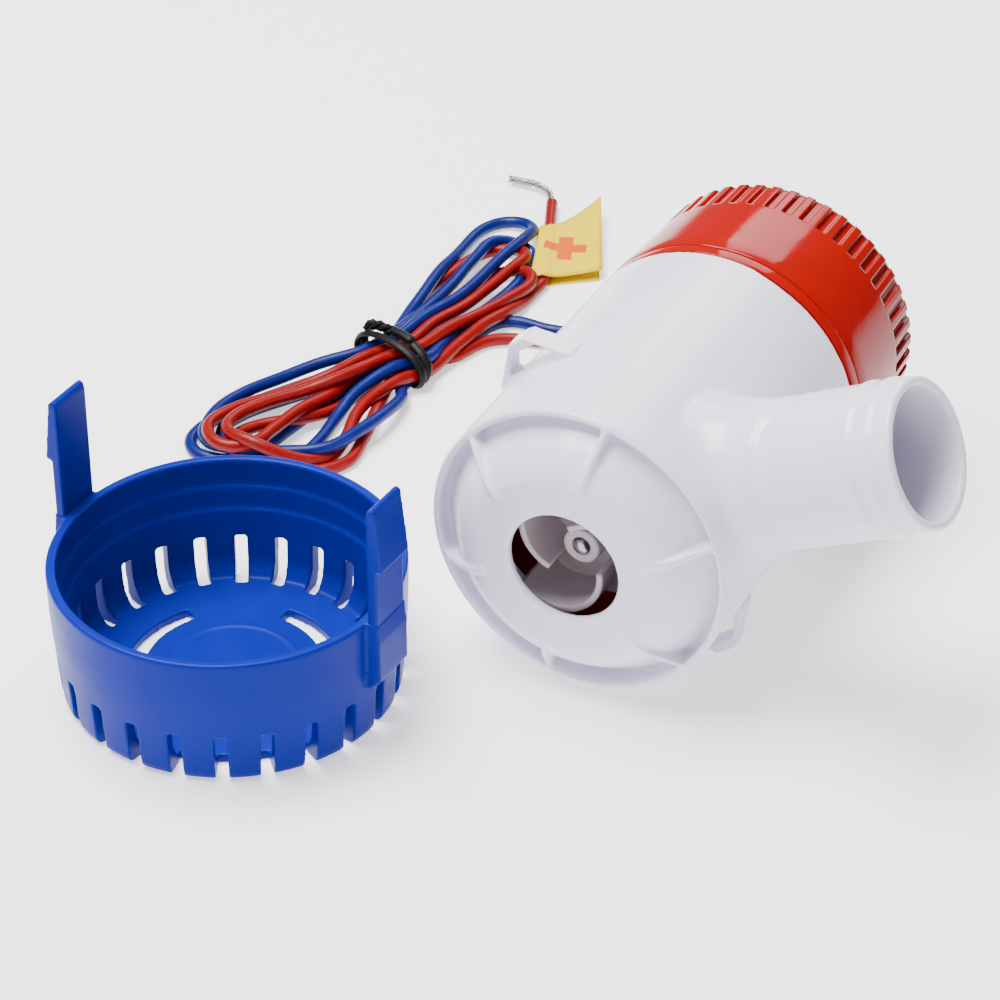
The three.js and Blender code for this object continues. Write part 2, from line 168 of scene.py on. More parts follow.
# The folds on the pump's side of the tie, each from its first leg over the tip to its second.
RIGHT_FOLDS = {
    "blue_open": [
        [-16.5, 89.5, 7], [-8.2, 100.3, 6.6], [0, 114.5, 6.6], [6.2, 125, 5.6], [7.8, 131.8, 4.2],
        [3.2, 137, 3], [-3.8, 132.6, 2.2], [-10.3, 118, 2], [-15.2, 105, 2.4], [-18.8, 94.5, 3.5],
    ],
    "blue_nested": [
        [-10.5, 84.5, 3.8], [-5.6, 91.6, 3.6], [-1, 98.2, 3], [3.4, 105, 1.6],
        [6.8, 113, 1.4], [7.2, 120.5, 1.4], [4, 127, 2], [-1.2, 125.4, 3.6], [-6, 117, 4.4],
        [-10.8, 107, 4.6], [-15.4, 97.3, 5.4],
    ],
    "red_far": [
        [-19.4, 91, 1.8], [-18.6, 99, 1.5], [-16.2, 106, 1.5], [-12, 112.6, 1.5], [-6.8, 119.6, 1.5],
        [-1, 124, 2.2], [5, 122.8, 3.8], [6.2, 117, 4.3], [1.6, 109.6, 4.6], [-3.2, 103.4, 4.8],
        [-8, 96.6, 5.4], [-14.4, 88, 6.6],
    ],
    "red_near": [
        [-17, 86, 3.6], [-12.8, 95, 3], [-8.6, 103.4, 2.2], [-4.2, 110.4, 1.8], [1.4, 114.4, 2.4],
        [6.6, 112, 3.8], [6.8, 106, 4.2], [1.6, 98.8, 4.8], [-4.8, 91.2, 5.6], [-11, 84.4, 6.4],
    ],
}

# The folds on the strainer's side of the tie.
LEFT_FOLDS = {
    "blue_front": [
        [-21, 61, 4.4], [-24.7, 51.8, 6.4], [-29.4, 45, 6.6], [-36, 39, 5.4], [-45, 38.3, 4.4],
        [-55, 39.2, 4.2], [-61.6, 44, 4.2], [-60.6, 52, 4.2], [-54, 62.4, 4.2], [-46.6, 68.4, 4.4],
        [-39, 72.6, 5],
    ],
    "blue_back": [
        [-38, 69.8, 1.6], [-46, 64.8, 1.6], [-55, 58.4, 1.6], [-63, 50.4, 1.6],
        [-65, 43.4, 1.6], [-58.6, 39.6, 1.6], [-49, 39.4, 1.6], [-42.2, 40.6, 1.6], [-38.4, 46.4, 1.8],
        [-34.8, 55.6, 2.6], [-30.8, 62.2, 4.6],
    ],
    "blue_under": [
        [-38, 66.8, 2.4], [-47, 62.2, 1.8], [-55, 56.6, 1.6], [-59.4, 49.6, 1.6],
        [-56, 43.6, 1.6], [-49.6, 44.4, 1.6], [-44.6, 50, 1.6], [-40, 56, 1.6], [-33, 64.2, 2.6],
    ],
    "red_under": [
        [-26.4, 57, 3.2], [-28.6, 48, 1.8], [-31.6, 39.6, 1.6], [-37.4, 36.4, 1.6],
        [-45.4, 36.4, 3.6], [-53.8, 38.8, 4], [-56.6, 45, 4], [-51, 49.6, 4], [-42.6, 52.6, 3.8],
        [-35.6, 57.6, 3.2],
    ],
    "red_outer": [
        [-34.4, 66.6, 7.4], [-41, 63, 6.8], [-48.4, 58.8, 6.6], [-56, 53.8, 6.6],
        [-60.6, 46.8, 6.6], [-58.4, 40, 6.4], [-51, 39.4, 6.4], [-47, 45.4, 5.8], [-41.4, 53.4, 5.2],
        [-34.6, 61, 5],
    ],
    "red_inner": [
        [-34, 62.6, 7.8], [-41, 59.4, 7], [-49, 55.2, 6.8], [-55.4, 49, 6.8],
        [-56.8, 42.6, 6.8], [-50.4, 37.6, 6.8], [-41.6, 36.8, 4.6], [-35.6, 39.4, 3.6], [-32.4, 46, 4],
        [-29.4, 56, 5],
    ],
}


def ring_spot(place):
    """How far across and up a place on the bundle's edge is."""
    turn = np.linspace(0, 2 * pi, 721)
    oval = np.stack([BUNDLE_A * np.cos(turn), BUNDLE_Z + BUNDLE_B * np.sin(turn)], axis=1)
    along = distance_along(oval)
    where = (place % RING) / RING * along[-1]
    return [np.interp(where, along, oval[:, k]) for k in range(2)]


def through_tie(place, leftwards):
    """A wire's points through the tie, where the wires at the bundle's edge twist a little."""
    points = []
    for distance, twist in TWISTS:
        if place in INNER_PLACES:
            across, up = INNER_PLACES[place], BUNDLE_Z
        else:
            across, up = ring_spot(place - twist)
        x, y = WAIST + ALONG * distance + ACROSS * across
        points.append([x, y, up])
    return points if leftwards else points[::-1]


def red_route():
    return [
        *RED_LEAD, *through_tie(8, True), *LEFT_FOLDS["red_under"], *through_tie(9, False),
        *RIGHT_FOLDS["red_far"], *through_tie(3, True), *LEFT_FOLDS["red_outer"],
        *through_tie("inner_back", False), *RIGHT_FOLDS["red_near"], *through_tie(4, True),
        *LEFT_FOLDS["red_inner"], *through_tie(6, False), *RED_END,
    ]


def blue_route():
    return [
        *BLUE_LEAD, *through_tie(7, True), *LEFT_FOLDS["blue_front"], *through_tie(2, False),
        *RIGHT_FOLDS["blue_open"], *through_tie(0, True), *LEFT_FOLDS["blue_back"],
        *through_tie(5, False), *RIGHT_FOLDS["blue_nested"], *through_tie(1, True),
        *LEFT_FOLDS["blue_under"], *through_tie("inner_front", False), *BLUE_END,
    ]


def settle(lines, rounds=80):
    """Lets the wires sink onto the floor and onto each other, each keeping its own thickness of room.
    A wire is stiff, so what moves one point of it is shared out along it."""
    step, sinking, largest_move = 2.4, 0.04, 0.6
    lead_run, tie_hold, end_points, own_neighbours = 110, 6, 8, 3
    freedom = np.array([0.45, 0.45, 1])
    lines = [evenly(line, step) for line in lines]
    strand = np.concatenate([np.full(len(line), k) for k, line in enumerate(lines)])
    order = np.concatenate([np.arange(len(line)) for line in lines])
    drawn = np.vstack(lines)
    moved_by = np.zeros_like(drawn)
    lead = (order < round(lead_run / step)) & (drawn[:, 0] > 0)
    near_tie = np.linalg.norm(drawn[:, :2] - WAIST, axis=1) < tie_hold
    ends = np.concatenate([np.arange(len(line)) >= len(line) - end_points for line in lines])
    loose = (~(lead | near_tie | ends))[:, None].astype(float)
    for _ in range(6):
        loose = shared(loose, strand)
    far_along = np.abs(order[:, None] - order[None]) > own_neighbours
    apart = (strand[:, None] != strand[None]) | far_along
    for _ in range(rounds):
        p = drawn + moved_by
        away = p[:, None] - p[None]
        distance = np.linalg.norm(away, axis=2)
        close = apart & (distance < WIRE_D)
        push = np.where(close, (WIRE_D - distance) / np.maximum(distance, 0.05), 0)
        shift = 0.5 * freedom * (push[:, :, None] * away).sum(axis=1)
        shift[:, 2] -= sinking
        moved_by += loose * np.clip(shift, -largest_move, largest_move)
        for _ in range(3):
            moved_by = shared(moved_by, strand)
        moved_by[:, 2] = np.maximum(moved_by[:, 2], ON_FLOOR - drawn[:, 2])
    p = drawn + moved_by
    return [p[strand == k] for k in range(len(lines))]


def shared(values, strand):
    """Each point's value evened out with its neighbours' on the same wire."""
    before, after = np.roll(values, 1, axis=0), np.roll(values, -1, axis=0)
    joined = (strand == np.roll(strand, 1))[:, None]
    joined_after = (strand == np.roll(strand, -1))[:, None]
    before = np.where(joined, before, values)
    after = np.where(joined_after, after, values)
    return 0.5 * values + 0.25 * (before + after)


def unbent(line, least_radius=2.15 * WIRE_D, rounds=8):
    """Opens any bend that is too tight for the wire, moving only the points close to it."""
    neighbours_share, pull = 0.6, 0.25
    line = line.copy()
    for _ in range(rounds):
        bend = line[:-2] - 2 * line[1:-1] + line[2:]
        step_squared = 0.25 * np.sum((line[2:] - line[:-2]) ** 2, axis=1)
        curvature = np.linalg.norm(bend, axis=1) / step_squared
        tight = np.clip(4 * (least_radius * curvature - 1), 0, 1)
        beside = np.pad(tight, 1)
        share = np.maximum(tight, neighbours_share * np.maximum(beside[:-2], beside[2:]))
        line[1:-1] += pull * share[:, None] * bend
        line[:, 2] = np.maximum(line[:, 2], ON_FLOOR)
    return line


def wire(name, line):
    """A round wire along a line of millimetre points, as one open spline."""
    curve = bpy.data.curves.new(name, "CURVE")
    curve.dimensions = "3D"
    curve.bevel_depth = WIRE_D / 2 * MM
    curve.bevel_resolution = 5
    curve.use_fill_caps = True
    path = curve.splines.new("POLY")
    fine = evenly(spline(line, 4), 0.9)
    path.points.add(len(fine) - 1)
    path.points.foreach_set("co", np.hstack([fine * MM, np.ones((len(fine), 1))]).ravel())
    path.use_smooth = True
    return new_object(name, curve)


red_line, blue_line = settle([spline(red_route()), spline(blue_route())])
red_wire = wire("red_wire", unbent(red_line))
blue_wire = wire("blue_wire", unbent(blue_line))


# ---- Mesh making ----

def solid(name, points, faces):
    """A closed mesh. Points that coincide are merged and its faces turned outwards."""
    mesh = bpy.data.meshes.new(name)
    mesh.from_pydata([tuple(p) for p in points], [], faces)
    bm = bmesh.new()
    bm.from_mesh(mesh)
    bmesh.ops.remove_doubles(bm, verts=bm.verts, dist=1e-5)
    bmesh.ops.recalc_face_normals(bm, faces=bm.faces)
    bm.to_mesh(mesh)
    bm.free()
    return new_object(name, mesh)


def eased(corners):
    """A profile whose corners (radius, z, cut) are rounded, from a cut's length before to one after."""
    points = []
    count = len(corners)
    for i, (x, z, *cut) in enumerate(corners):
        if not cut:
            points.append((x, z))
            continue
        here = Vector((x, z))
        before = Vector(corners[i - 1][:2]) - here
        after = Vector(corners[(i + 1) % count][:2]) - here
        start = here + before.normalized() * cut[0]
        end = here + after.normalized() * cut[0]
        for t in (0, 0.2, 0.4, 0.6, 0.8, 1):
            points.append(tuple(start * (1 - t) ** 2 + here * 2 * t * (1 - t) + end * t * t))
    return points


def turned(name, profile, segments=192):
    """Turned about Z from (radius, z) points that start and end on the axis, or close on themselves."""
    points, rings = [], []
    for r, z in profile:
        count = segments if r > 1e-6 else 1
        rings.append([len(points) + i for i in range(count)])
        for i in range(count):
            a = 2 * pi * i / segments
            points.append((r * cos(a), r * sin(a), z))
    pairs = list(zip(rings, rings[1:]))
    if profile[0][0] > 1e-6:
        pairs.append((rings[-1], rings[0]))
    faces = []
    for low, high in pairs:
        for i in range(segments):
            j = (i + 1) % segments
            corners = [low[i % len(low)], low[j % len(low)], high[j % len(high)], high[i % len(high)]]
            face = list(dict.fromkeys(corners))
            if len(face) > 2:
                faces.append(face)
    return solid(name, points, faces)


def rod(name, radius, z0, z1, segments):
    return turned(name, [(0, z0), (radius, z0), (radius, z1), (0, z1)], segments)


def raised(name, outline, z0, z1):
    """A flat outline of (x, y) points raised from z0 to z1."""
    count = len(outline)
    points = [(x, y, z0) for x, y in outline] + [(x, y, z1) for x, y in outline]
    sides = [[i, (i + 1) % count, count + (i + 1) % count, count + i] for i in range(count)]
    return solid(name, points, [list(range(count))[::-1], list(range(count, 2 * count)), *sides])


def moved(obj, matrix):
    obj.data.transform(matrix)
    return obj


def spun(obj, degrees, axis="Z"):
    return moved(obj, Matrix.Rotation(radians(degrees), 4, axis))


def upright(name, outline, half_width):
    """An outline in the plane of X and Z, as thick along Y as twice the half width."""
    return spun(raised(name, outline, -half_width, half_width), 90, "X")


def sector(inner, outer, from_deg, to_deg, steps=24):
    angles = [radians(from_deg + (to_deg - from_deg) * i / steps) for i in range(steps + 1)]
    outside = [(outer * cos(a), outer * sin(a)) for a in angles]
    return outside + [(inner * cos(a), inner * sin(a)) for a in reversed(angles)]


def bake(obj):
    """Applies the object's modifiers to its mesh."""
    bpy.context.view_layer.update()
    shown = obj.evaluated_get(bpy.context.evaluated_depsgraph_get())
    mesh = bpy.data.meshes.new_from_object(shown)
    obj.modifiers.clear()
    obj.data = mesh
    return obj


def combine(obj, others, operation):
    """Changes the object's mesh by the others, which are used up."""
    for other in others:
        modifier = obj.modifiers.new("combine", "BOOLEAN")
        modifier.operation = operation
        modifier.solver = "MANIFOLD"
        modifier.object = other
        bake(obj)
        bpy.data.objects.remove(other)
    return obj


def join(obj, *others):
    return combine(obj, others, "UNION")


def cut(obj, *others):
    return combine(obj, others, "DIFFERENCE")


def soften(obj, rounds, weight=None):
    """Evens out the surface, everywhere or where weight(points) is above 0."""
    mesh = obj.data
    count = len(mesh.vertices)
    co = np.empty(count * 3)
    mesh.vertices.foreach_get("co", co)
    co = co.reshape(-1, 3)
    edges = np.empty(len(mesh.edges) * 2, np.int64)
    mesh.edges.foreach_get("vertices", edges)
    a, b = edges.reshape(-1, 2).T
    links = np.maximum(np.bincount(a, minlength=count) + np.bincount(b, minlength=count), 1)[:, None]
    share = 0.5 if weight is None else 0.5 * weight(co)[:, None]
    for _ in range(rounds):
        total = np.stack([
            np.bincount(a, co[b, k], minlength=count) + np.bincount(b, co[a, k], minlength=count)
            for k in range(3)
        ], axis=1)
        co = co + share * (total / links - co)
    mesh.vertices.foreach_set("co", co.ravel())
    mesh.update()
    return obj


def melt(obj, voxel, rounds):
    """Runs the shapes into one moulded skin with slightly rounded edges."""
    modifier = obj.modifiers.new("melt", "REMESH")
    modifier.mode = "VOXEL"
    modifier.voxel_size = voxel
    return soften(bake(obj), rounds)


def piece(obj, place, material, slot, body, *nodes):
    """Puts a finished millimetre mesh in its place, on its body, for its CAD nodes."""
    obj.data.transform(place)
    obj.data.shade_smooth()
    obj.data.materials.clear()
    obj.data.materials.append(material)
    if body:
        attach(obj, body)
    if nodes:
        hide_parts(*nodes)
    return obj


# ---- Materials ----

class Finish:
    """A node material: a Principled shader with its fixed values, and short ways to add nodes."""

    def __init__(self, name, **fixed):
        self.material = bpy.data.materials.new(name)
        self.material.use_nodes = True
        self.tree = self.material.node_tree
        self.shader = self.tree.nodes["Principled BSDF"]
        for socket, value in fixed.items():
            self.shader.inputs[socket.replace("_", " ")].default_value = value
        self.where = self.tree.nodes.new("ShaderNodeTexCoord").outputs["Object"]

    def add(self, kind, inputs=None, **settings):
        node = self.tree.nodes.new(kind)
        for key, value in settings.items():
            setattr(node, key, value)
        for key, value in (inputs or {}).items():
            if isinstance(value, bpy.types.NodeSocket):
                self.tree.links.new(value, node.inputs[key])
            else:
                node.inputs[key].default_value = value
        return node

    def noise(self, size_mm, detail=3, roughness=0.5, where=None):
        """Noise from 0 to 1 whose blotches are about this many millimetres across."""
        inputs = {"Vector": where or self.where, "Scale": 1 / (size_mm * MM)}
        inputs |= {"Detail": detail, "Roughness": roughness}
        return self.add("ShaderNodeTexNoise", inputs).outputs["Fac"]

    def stretched(self, x, y, z):
        """The surface's coordinates, scaled apart along its axes."""
        inputs = {"Vector": self.where, "Scale": (x, y, z)}
        return self.add("ShaderNodeMapping", inputs).outputs["Vector"]

    def spread(self, value, low, high, out_low, out_high):
        """The value, with low to high stretched to out_low to out_high."""
        inputs = {"Value": value, "From Min": low, "From Max": high, "To Min": out_low, "To Max": out_high}
        return self.add("ShaderNodeMapRange", inputs).outputs["Result"]

    def math(self, operation, a, b=0.0):
        return self.add("ShaderNodeMath", {0: a, 1: b}, operation=operation).outputs["Value"]

    def mix(self, share, a, b):
        """Colour a where the share is 0 and colour b where it is 1."""
        node = self.add("ShaderNodeMix", {"Factor": share}, data_type="RGBA")
        for key, value in ((6, a), (7, b)):
            if isinstance(value, bpy.types.NodeSocket):
                self.tree.links.new(value, node.inputs[key])
            else:
                node.inputs[key].default_value = (*value, 1)
        return node.outputs[2]

    def use(self, socket, value):
        self.tree.links.new(value, self.shader.inputs[socket])

    def bump(self, *layers):
        """Layers are (height, depth in millimetres), the first lowest."""
        normal = None
        for height, depth_mm in layers:
            inputs = {"Height": height, "Distance": depth_mm * MM, "Strength": 1.0}
            if normal is not None:
                inputs["Normal"] = normal
            normal = self.add("ShaderNodeBump", inputs).outputs["Normal"]
        self.use("Normal", normal)


def white_plastic():
    f = Finish("white_plastic", IOR=1.46, Subsurface_Weight=0.12, Subsurface_Scale=0.004)
    f.shader.inputs["Subsurface Radius"].default_value = (1.0, 0.9, 1.0)
    tone = f.mix(f.noise(24, 4), (0.75, 0.73, 0.88), (0.8, 0.78, 0.91))
    dust = f.spread(f.noise(1.1, 6, 0.75), 0.66, 0.8, 0, 0.25)
    f.use("Base Color", f.mix(dust, tone, (0.62, 0.61, 0.68)))
    f.use("Roughness", f.spread(f.noise(9, 5, 0.6), 0.3, 0.75, 0.16, 0.3))
    f.bump((f.noise(13, 2), 0.06), (f.noise(1.4, 3), 0.006), (f.noise(0.35, 2), 0.0015))
    return f.material


def red_plastic():
    f = Finish("red_plastic", IOR=1.45, Specular_IOR_Level=0.2)
    tone = f.mix(f.noise(18, 3), (0.28, 0.0002, 0.0002), (0.34, 0.0004, 0.0004))
    handled = f.spread(f.noise(2.6, 6, 0.7), 0.6, 0.85, 0, 0.2)
    f.use("Base Color", f.mix(handled, tone, (0.36, 0.01, 0.009)))
    f.use("Roughness", f.spread(f.noise(6, 4), 0.3, 0.8, 0.06, 0.16))
    f.bump((f.noise(9, 2), 0.05), (f.noise(0.9, 3), 0.004))
    return f.material


def blue_plastic():
    f = Finish("blue_plastic", IOR=1.45, Specular_IOR_Level=0.12)
    tone = f.mix(f.noise(15, 4), (0.0004, 0.006, 0.22), (0.0008, 0.011, 0.3))
    f.use("Base Color", tone)
    f.use("Roughness", f.spread(f.noise(5, 3), 0.3, 0.75, 0.3, 0.42))
    f.bump((f.noise(11, 2), 0.04), (f.noise(1.1, 3), 0.003))
    return f.material


def natural_plastic():
    f = Finish("natural_plastic", IOR=1.5, Subsurface_Weight=0.25, Subsurface_Scale=0.002)
    f.use("Base Color", f.mix(f.noise(5, 4), (0.4, 0.335, 0.37), (0.5, 0.43, 0.46)))
    f.use("Roughness", f.spread(f.noise(2, 5), 0.3, 0.7, 0.28, 0.5))
    f.bump((f.noise(2.5, 3), 0.02), (f.noise(0.3, 2), 0.004))
    return f.material


def sheath(name, dark, light, roughness):
    """Soft wire insulation: uneven colour, handling marks and a fine pebbled skin."""
    f = Finish(name, IOR=1.45, Specular_IOR_Level=0.25)
    tone = f.mix(f.noise(7, 5, 0.6), dark, light)
    scuff = f.spread(f.noise(0.8, 6, 0.8), 0.62, 0.8, 0, 0.22)
    f.use("Base Color", f.mix(scuff, tone, tuple(0.8 * c + 0.02 for c in light)))
    f.use("Roughness", f.spread(f.noise(1.5, 5, 0.6), 0.3, 0.75, roughness - 0.08, roughness + 0.12))
    f.bump((f.noise(3, 2), 0.05), (f.noise(0.3, 3), 0.006))
    return f.material


def rubber(name, tone, roughness):
    f = Finish(name, IOR=1.45, Specular_IOR_Level=0.12)
    f.use("Base Color", f.mix(f.noise(3, 5, 0.6), tone, tuple(1.8 * c + 0.002 for c in tone)))
    f.use("Roughness", f.spread(f.noise(1.2, 5), 0.3, 0.75, roughness - 0.1, roughness + 0.1))
    f.bump((f.noise(1.5, 3), 0.02), (f.noise(0.2, 2), 0.006))
    return f.material


def metal(name, dark, light, roughness):
    """Bare metal with fine turning marks and darker handling marks."""
    f = Finish(name, Metallic=1.0)
    f.use("Base Color", f.mix(f.noise(2.2, 6, 0.6), dark, light))
    grain = f.noise(0.5, 4, 0.6, f.stretched(1, 1, 9))
    f.use("Roughness", f.spread(grain, 0.3, 0.75, roughness - 0.1, roughness + 0.14))
    f.bump((grain, 0.006), (f.noise(0.15, 2), 0.002))
    return f.material


def label_paper():
    """Yellow waxed paper with a plain orange plus, fibres and a soft crease."""
    plus_x, plus_y, half_length, half_width = 5.4, 2.2, 5.1, 1.9
    f = Finish("yellow_label", IOR=1.45, Specular_IOR_Level=0.1)
    tone = f.mix(f.noise(3, 5, 0.6), (0.68, 0.49, 0.0002), (0.76, 0.56, 0.0006))
    parts = f.add("ShaderNodeSeparateXYZ", {"Vector": f.where})
    x = f.math("ABSOLUTE", f.math("SUBTRACT", parts.outputs["X"], plus_x * MM))
    y = f.math("ABSOLUTE", f.math("SUBTRACT", parts.outputs["Y"], plus_y * MM))
    ragged = f.math("MULTIPLY", f.noise(0.5, 4), 0.5 * MM)
    x, y = (f.math("ADD", v, ragged) for v in (x, y))
    bars = [
        f.math("MULTIPLY", f.math("LESS_THAN", x, a * MM), f.math("LESS_THAN", y, b * MM))
        for a, b in ((half_length, half_width), (half_width, half_length))
    ]
    plus = f.math("MULTIPLY", f.math("MAXIMUM", *bars), 0.92)
    f.use("Base Color", f.mix(plus, tone, (0.62, 0.06, 0.004)))
    f.use("Roughness", f.spread(f.noise(1.5, 4), 0.3, 0.7, 0.32, 0.5))
    f.bump((f.noise(4, 2), 0.08), (f.noise(0.25, 4), 0.008))
    return f.material


WHITE = white_plastic()
RED = red_plastic()
BLUE = blue_plastic()
NATURAL = natural_plastic()
RED_SHEATH = sheath("red_wire", (0.17, 0.001, 0.0012), (0.24, 0.002, 0.002), 0.36)
BLUE_SHEATH = sheath("blue_wire", (0.001, 0.005, 0.1), (0.002, 0.01, 0.15), 0.36)
RUBBER = rubber("black_rubber", (0.014, 0.014, 0.015), 0.62)
BLACK = rubber("black_plastic", (0.004, 0.004, 0.0045), 0.4)
FERRITE = rubber("ferrite", (0.03, 0.03, 0.033), 0.7)
CARBON = rubber("carbon", (0.02, 0.02, 0.021), 0.5)
STEEL = metal("steel", (0.36, 0.37, 0.38), (0.5, 0.51, 0.52), 0.3)
CORE_STEEL = metal("core_steel", (0.28, 0.29, 0.3), (0.4, 0.41, 0.42), 0.42)
BRONZE = metal("bronze", (0.42, 0.24, 0.09), (0.56, 0.34, 0.14), 0.36)
COPPER = metal("copper", (0.5, 0.22, 0.1), (0.66, 0.32, 0.16), 0.32)
TINNED = metal("tinned_strands", (0.22, 0.22, 0.22), (0.42, 0.42, 0.41), 0.34)
LABEL = label_paper()


# ---- Housing ----

SKIRT_R, SKIRT_INNER_R, HOUSING_TOP = 30.5, 29.0, 63.0
INLET_R, INLET_Z, PLATE_INNER_Z = 11.2, -6.0, -4.0
NOZZLE_Z, NOZZLE_R, NOZZLE_BORE_R, NOZZLE_REACH = 19.4, 14.25, 12.25, 67.6
EAR_ANGLE, EAR_Z, EAR_LENGTH, EAR_R = 77.5, 19.6, 5.2, 36.8
RIB_COUNT, RIB_ANGLE = 6, 6.5


def flat_spline(points, per_span=5):
    return [(x, z) for x, z, _ in spline([(x, z, 0) for x, z in points], per_span)]


def housing_shell():
    """The skirt and the volute's dished bottom, open at the inlet and at the top."""
    dome = flat_spline([
        (16.8, -6), (18.5, -5.95), (20.6, -5.15), (22.6, -3.75), (24.4, -1.9), (26, 0.4), (27.6, 2.6),
        (SKIRT_INNER_R, 4),
    ])
    back = flat_spline([
        (SKIRT_INNER_R, 8), (27.6, 6.4), (25.2, 3), (23.2, 0.5), (21.2, -1.6), (19, -3.3), (17.2, -3.95),
    ])
    return turned("housing_skin", eased([
        (INLET_R, PLATE_INNER_Z, 0.5), (INLET_R, INLET_Z, 0.9), *dome, (SKIRT_INNER_R, 0, 0.4),
        (SKIRT_R, 0, 0.5), (SKIRT_R, HOUSING_TOP, 0.3), (SKIRT_INNER_R, HOUSING_TOP, 0.3), *back,
    ]))


CREASE_X, CREASE_LEAN, CREASE_DEPTH, CREASE_HALF = 42.0, 0.3, 1.0, 1.8
FLARE_X = 22


def nozzle_flare():
    """The root: a swelling out of the housing, then the crease where the spigot begins."""
    swell_to, full_at, swell = 38.5, 26.5, 4.9
    points = []
    for i in range(28):
        x = FLARE_X + (CREASE_X + CREASE_HALF - FLARE_X) * i / 27
        share = min(1, max(0, (swell_to - x) / (swell_to - full_at)))
        crease = max(0, 1 - abs(x - CREASE_X) / CREASE_HALF)
        points.append((NOZZLE_R + swell * share ** 2.2 - CREASE_DEPTH * crease, x))
    return points


def to_nozzle(obj):
    """Turns what was made about Z to point along the nozzle."""
    return moved(spun(obj, 90, "Y"), Matrix.Translation((0, 0, NOZZLE_Z)))


def bead(middle):
    rise, half_foot, half_top = 0.42, 1.2, 0.4
    return [
        (NOZZLE_R, middle - half_foot), (NOZZLE_R + rise, middle - half_top),
        (NOZZLE_R + rise, middle + half_top), (NOZZLE_R, middle + half_foot),
    ]


def nozzle():
    """The swelling is full on the skirt's side and slight on the cap's, where the crease leans out."""
    on_cap_side, lean_from, lean_over = 0.3, 26, 10
    mouth = [(NOZZLE_R, NOZZLE_REACH, 0.7), (0, NOZZLE_REACH)]
    profile = eased([(0, FLARE_X), *nozzle_flare(), *bead(58.4), *bead(62.6), *mouth])
    outside = turned("nozzle", profile, 128)
    for vertex in outside.data.vertices:
        co = vertex.co
        radius = hypot(co.x, co.y)
        if radius > NOZZLE_R and co.z < CREASE_X:
            to_skirt = 0.5 + 0.5 * co.x / radius
            share = on_cap_side + (1 - on_cap_side) * to_skirt
            slimmer = (NOZZLE_R + (radius - NOZZLE_R) * share) / radius
            co.x *= slimmer
            co.y *= slimmer
        if co.z < CREASE_X + CREASE_HALF + 0.1:
            share = min(1, max(0, (co.z - lean_from) / lean_over))
            co.z -= CREASE_LEAN * co.x * share
    return to_nozzle(outside)


def nozzle_bore():
    """The hole through the nozzle, widening a little at its mouth."""
    mouth_r = NOZZLE_BORE_R + 0.8
    bore = turned("bore", [
        (0, 20), (NOZZLE_BORE_R, 20), (NOZZLE_BORE_R, NOZZLE_REACH - 0.9),
        (NOZZLE_BORE_R + 0.25, NOZZLE_REACH - 0.3), (mouth_r, NOZZLE_REACH + 0.3),
        (mouth_r, NOZZLE_REACH + 1), (0, NOZZLE_REACH + 1),
    ], 128)
    return to_nozzle(bore)


def ear(side):
    """A loop on the skirt that takes a strainer arm; ear_window is its opening."""
    root = SKIRT_R - 0.8
    outline = [(root, -9.6), (EAR_R - 1.2, -3.2), (EAR_R, -2), (EAR_R, 2), (EAR_R - 1.2, 3.2), (root, 9.6)]
    return spun(raised("ear", outline, EAR_Z, EAR_Z + EAR_LENGTH), EAR_ANGLE + side)


def ear_window(side):
    inside, outside = SKIRT_R + 0.3, EAR_R - 2.2
    outline = [(inside, -6.6), (outside, -3.4), (outside, 3.4), (inside, 6.6)]
    return spun(raised("window", outline, EAR_Z - 1, EAR_Z + EAR_LENGTH + 1), EAR_ANGLE + side)


def base_rib(number):
    """One of the low ribs that run out over the dished bottom."""
    outline = [
        (17.3, -5.8), (17.7, -6.45), (20.5, -6.1), (23.5, -4.55), (26.5, -2.3), (29.6, -0.1),
        (29.6, 4.4), (17.3, -4.4),
    ]
    return spun(upright("rib", outline, 0.6), RIB_ANGLE + 360 / RIB_COUNT * number)


def near_nozzle_root(co):
    """1 round the line where the nozzle leaves the shell, less further away."""
    root_x, least_x, full, fading = 29, 18, 1.6, 6
    out = np.hypot(co[:, 1], co[:, 2] - NOZZLE_Z)
    near = np.clip(full - np.abs(co[:, 0] - root_x) / fading, 0, 1)
    on_outside = np.hypot(co[:, 0], co[:, 1]) > SKIRT_R - 0.7
    return near * (out > NOZZLE_BORE_R + 1) * (co[:, 0] > least_x) * on_outside


def housing():
    hollow = turned("hollow", [
        (0, 2.6), (25, 2.6), (27.6, 6.5), (SKIRT_INNER_R, 8), (SKIRT_INNER_R, 60), (0, 60),
    ])
    spigot = cut(nozzle(), hollow)
    ribs = [base_rib(i) for i in range(RIB_COUNT)]
    shell = join(housing_shell(), spigot, ear(0), ear(180), *ribs)
    cut(shell, nozzle_bore(), ear_window(0), ear_window(180))
    melt(shell, voxel=0.4, rounds=2)
    soften(shell, rounds=40, weight=near_nozzle_root)
    return piece(shell, PUMP, WHITE, "white_plastic", "root", "outer_housing")


# ---- Motor pod and cap ----

FLANGE_Z, FLANGE_R, POD_R, POD_NOSE_R, POD_FLOOR = 63.3, 30.35, 28.5, 26.2, 12.6
CAP_Z, CAP_TOP, CAP_TOP_R = 66.1, 96.3, 29.1
GRIP_Z, GRIP_COUNT, GRIP_DEPTH, GRIP_CHAMFER = 86.3, 48, 0.9, 1.2
EXIT_R, EXIT_ANGLE, EXIT_HOLE_R = 16.0, radians(130), 4.3
EXIT_AT = Matrix.Translation((EXIT_R * cos(EXIT_ANGLE), EXIT_R * sin(EXIT_ANGLE), 0))


